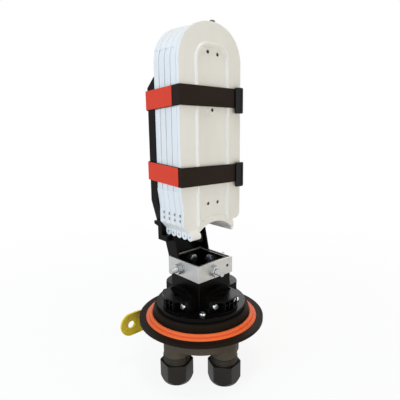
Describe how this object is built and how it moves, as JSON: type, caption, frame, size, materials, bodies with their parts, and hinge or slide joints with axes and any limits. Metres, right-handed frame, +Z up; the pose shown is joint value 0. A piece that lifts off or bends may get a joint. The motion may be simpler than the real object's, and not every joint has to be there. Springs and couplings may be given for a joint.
{
  "type": "opened fibre splice closure, base with tray organiser",
  "caption": "Opened fibre splice closure: round port base with sealing ring and glands, square riser tower, mast and strapped stack of splice trays under a cover.",
  "frame": {"origin": "on the closure's axis, level with the lower ends of the gland nuts", "axes": "+Z up along the closure's axis; the tray stack's cover faces -Y; trays lie across X"},
  "size_m": [0.192, 0.18, 0.4835],
  "materials": {
    "base_plastic": "moulded, fine matt",
    "ring_rubber": "smooth silicone",
    "nut_plastic": "moulded, fine matt",
    "thrust_plastic": "moulded",
    "seal_rubber": "smooth",
    "black_plastic": "moulded, satin",
    "angle_aluminium": "bead blasted",
    "zinc_steel": "bright zinc",
    "catch_steel": "dark zinc",
    "tray_plastic": "moulded, satin white",
    "comb_plastic": "moulded",
    "strap_fabric": "woven hook and loop",
    "tab_fabric": "woven hook and loop",
    "buckle_plastic": "moulded",
    "bracket_steel": "yellow zinc"
  },
  "bodies": {
    "closure": {"base": "base_plastic", "port_front": "base_plastic", "port_right": "base_plastic", "port_rear": "base_plastic", "port_left": "base_plastic", "seal_ring": "ring_rubber", "thrust_ring_front": "thrust_plastic", "gland_seal_front": "seal_rubber", "clamp_inner_front": "black_plastic", "clamp_outer_front": "black_plastic", "thrust_ring_right": "thrust_plastic", "gland_seal_right": "seal_rubber", "clamp_inner_right": "black_plastic", "clamp_outer_right": "black_plastic", "thrust_ring_rear": "thrust_plastic", "gland_seal_rear": "seal_rubber", "clamp_inner_rear": "black_plastic", "clamp_outer_rear": "black_plastic", "thrust_ring_left": "thrust_plastic", "gland_seal_left": "seal_rubber", "clamp_inner_left": "black_plastic", "clamp_outer_left": "black_plastic", "tower_foot": "black_plastic", "tower": "black_plastic", "mast": "black_plastic", "hinge_rack": "black_plastic", "back_plate": "black_plastic", "earth_angle_front": "angle_aluminium", "earth_angle_rear": "angle_aluminium", "angle_bolts": "zinc_steel", "angle_washers": "zinc_steel", "angle_nuts": "zinc_steel", "foot_screws": "zinc_steel", "clamp_screws": "zinc_steel", "rack_screw": "zinc_steel", "plate_screws": "zinc_steel", "bracket_screws": "zinc_steel", "hinge_pins": "zinc_steel", "catch_screw": "catch_steel", "tray_1": "tray_plastic", "tray_2": "tray_plastic", "tray_3": "tray_plastic", "tray_4": "tray_plastic", "cover": "tray_plastic", "splice_comb_1": "comb_plastic", "splice_comb_2": "comb_plastic", "splice_comb_3": "comb_plastic", "splice_comb_4": "comb_plastic", "strap_upper": "strap_fabric", "strap_lower": "strap_fabric", "strap_tab_upper": "tab_fabric", "strap_tab_lower": "tab_fabric", "buckle_upper": "buckle_plastic", "buckle_lower": "buckle_plastic", "wall_bracket": "bracket_steel"},
    "nut_front": {"gland_nut_front": "nut_plastic"},
    "nut_right": {"gland_nut_right": "nut_plastic"},
    "nut_rear": {"gland_nut_rear": "nut_plastic"},
    "nut_left": {"gland_nut_left": "nut_plastic"}
  },
  "joints": [
    {"name": "nut_front_turn", "type": "hinge", "parent": "closure", "child": "nut_front", "pos_m": [0, -0.0475, 0.0145], "axis": [0, 0, 1], "continuous": true},
    {"name": "nut_right_turn", "type": "hinge", "parent": "closure", "child": "nut_right", "pos_m": [0.0475, 0, 0.0145], "axis": [0, 0, 1], "continuous": true},
    {"name": "nut_rear_turn", "type": "hinge", "parent": "closure", "child": "nut_rear", "pos_m": [0, 0.0475, 0.0145], "axis": [0, 0, 1], "continuous": true},
    {"name": "nut_left_turn", "type": "hinge", "parent": "closure", "child": "nut_left", "pos_m": [-0.0475, 0, 0.0145], "axis": [0, 0, 1], "continuous": true}
  ]
}
